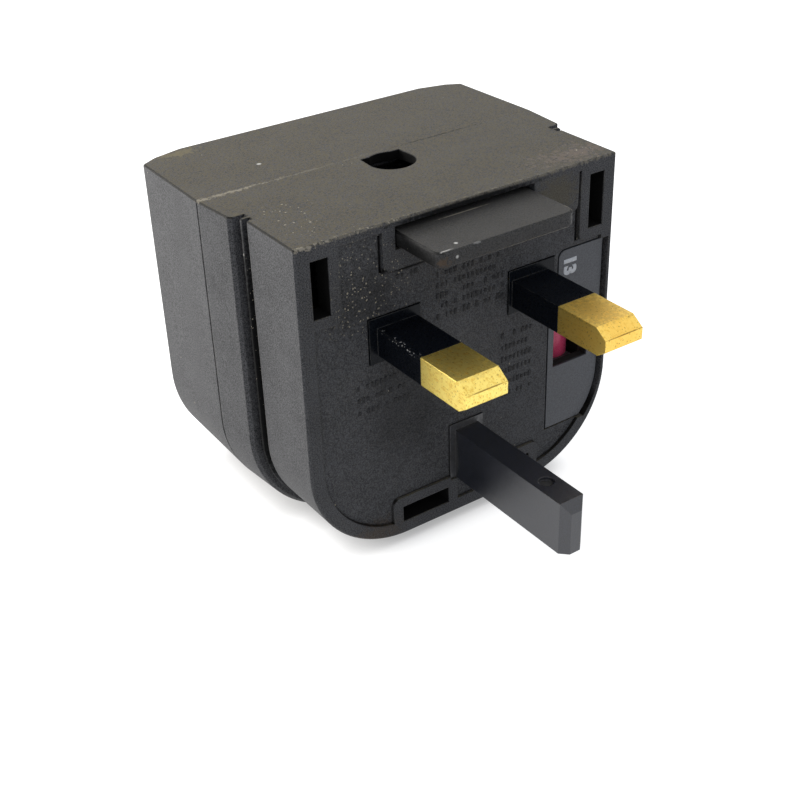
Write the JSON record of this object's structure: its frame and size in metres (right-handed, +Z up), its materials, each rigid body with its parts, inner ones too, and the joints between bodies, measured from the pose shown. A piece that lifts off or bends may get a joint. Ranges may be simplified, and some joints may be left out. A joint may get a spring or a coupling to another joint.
{
  "type": "travel adapter",
  "caption": "Fused mains travel adapter: snap-together housing, sleeved flat pins, plastic earth pin, fuse carrier with a window, sliding lock tab and a round socket recess at the back.",
  "frame": {"origin": "on the pin face, midway between the live and neutral pins", "axes": "+X across the pin face towards the live pin, +Y from the pin face into the body, +Z up to the flat side, with the earth side down"},
  "size_m": [0.0556, 0.063, 0.0498],
  "materials": {
    "housing_plastic": "fine moulded grain, dusty",
    "insert_plastic": "plain moulded",
    "pin_brass": "scratched brass",
    "sleeve_plastic": "smooth",
    "earth_plastic": "satin",
    "tab_plastic": "satin, worn at its corners",
    "carrier_plastic": "smooth moulded",
    "fuse_body": "printed ceramic",
    "fuse_cap": "nickel plated",
    "strip_brass": "rolled strip",
    "contact_brass": "turned",
    "ring_steel": "spring steel"
  },
  "bodies": {
    "housing": {"front_housing": "housing_plastic", "rear_housing": "housing_plastic", "contact_insert": "insert_plastic", "live_pin": "pin_brass", "neutral_pin": "pin_brass", "live_pin_sleeve": "sleeve_plastic", "neutral_pin_sleeve": "sleeve_plastic", "earth_pin": "earth_plastic", "live_fuse_clip": "strip_brass", "load_fuse_clip": "strip_brass", "neutral_link": "strip_brass", "live_contact": "contact_brass", "neutral_contact": "contact_brass", "live_contact_ring": "ring_steel", "neutral_contact_ring": "ring_steel"},
    "tab": {"locking_tab": "tab_plastic"},
    "fuse_holder": {"fuse_carrier": "carrier_plastic", "fuse_barrel": "fuse_body", "fuse_cap_upper": "fuse_cap", "fuse_cap_lower": "fuse_cap"}
  },
  "joints": [
    {"name": "tab_slide", "type": "slide", "parent": "housing", "child": "tab", "axis": [0, 1, 0], "range_m": [0, 0.0088]},
    {"name": "fuse_holder_slide", "type": "slide", "parent": "housing", "child": "fuse_holder", "axis": [0, -1, 0], "range_m": [0, 0.014]}
  ]
}
